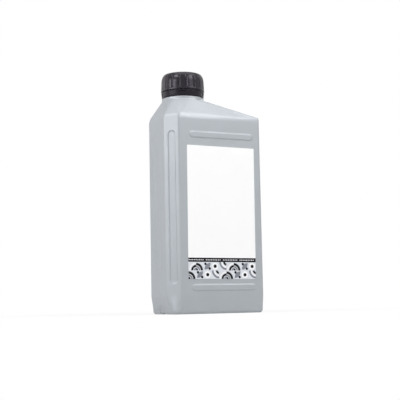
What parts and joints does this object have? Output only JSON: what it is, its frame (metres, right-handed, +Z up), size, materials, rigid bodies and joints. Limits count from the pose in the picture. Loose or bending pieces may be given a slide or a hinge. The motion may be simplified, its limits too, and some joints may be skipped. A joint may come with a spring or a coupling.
{
  "type": "gear oil bottle",
  "caption": "Flat-sided blown plastic oil bottle with an offset neck, a fluted screw cap, a tamper ring, a foam liner and a front label.",
  "frame": {"origin": "centre of the base on the surface the bottle stands on", "axes": "+Z up along the neck, +X along the wide face away from the neck, -Y out of the front label"},
  "size_m": [0.1035, 0.061, 0.2421],
  "materials": {
    "bottle_plastic": "satin, silver-grey pigment",
    "cap_plastic": "satin black",
    "liner_foam": "matt foam",
    "label_white": "smooth film",
    "label_pale_grey": "smooth film",
    "label_mid_grey": "smooth film",
    "label_black": "smooth film"
  },
  "bodies": {
    "bottle": {"bottle": "bottle_plastic", "tamper_ring": "cap_plastic", "front_label": "label_white", "label_strip": "label_pale_grey", "label_pattern_grey": "label_mid_grey", "label_pattern_black": "label_black"},
    "liner": {"cap_liner": "liner_foam"},
    "cap": {"cap": "cap_plastic"}
  },
  "joints": [
    {"name": "cap_lift", "type": "slide", "parent": "bottle", "child": "liner", "axis": [0, 0, 1], "range_m": [0, 0.0106]},
    {"name": "cap_turn", "type": "hinge", "parent": "liner", "child": "cap", "pos_m": [-0.0213, 0, 0.2388], "axis": [0, 0, 1], "range_deg": [0, 900]}
  ],
  "couplings": [
    {"joint": "cap_lift", "follows": "cap_turn", "m_per_rad": 0.00066845}
  ]
}
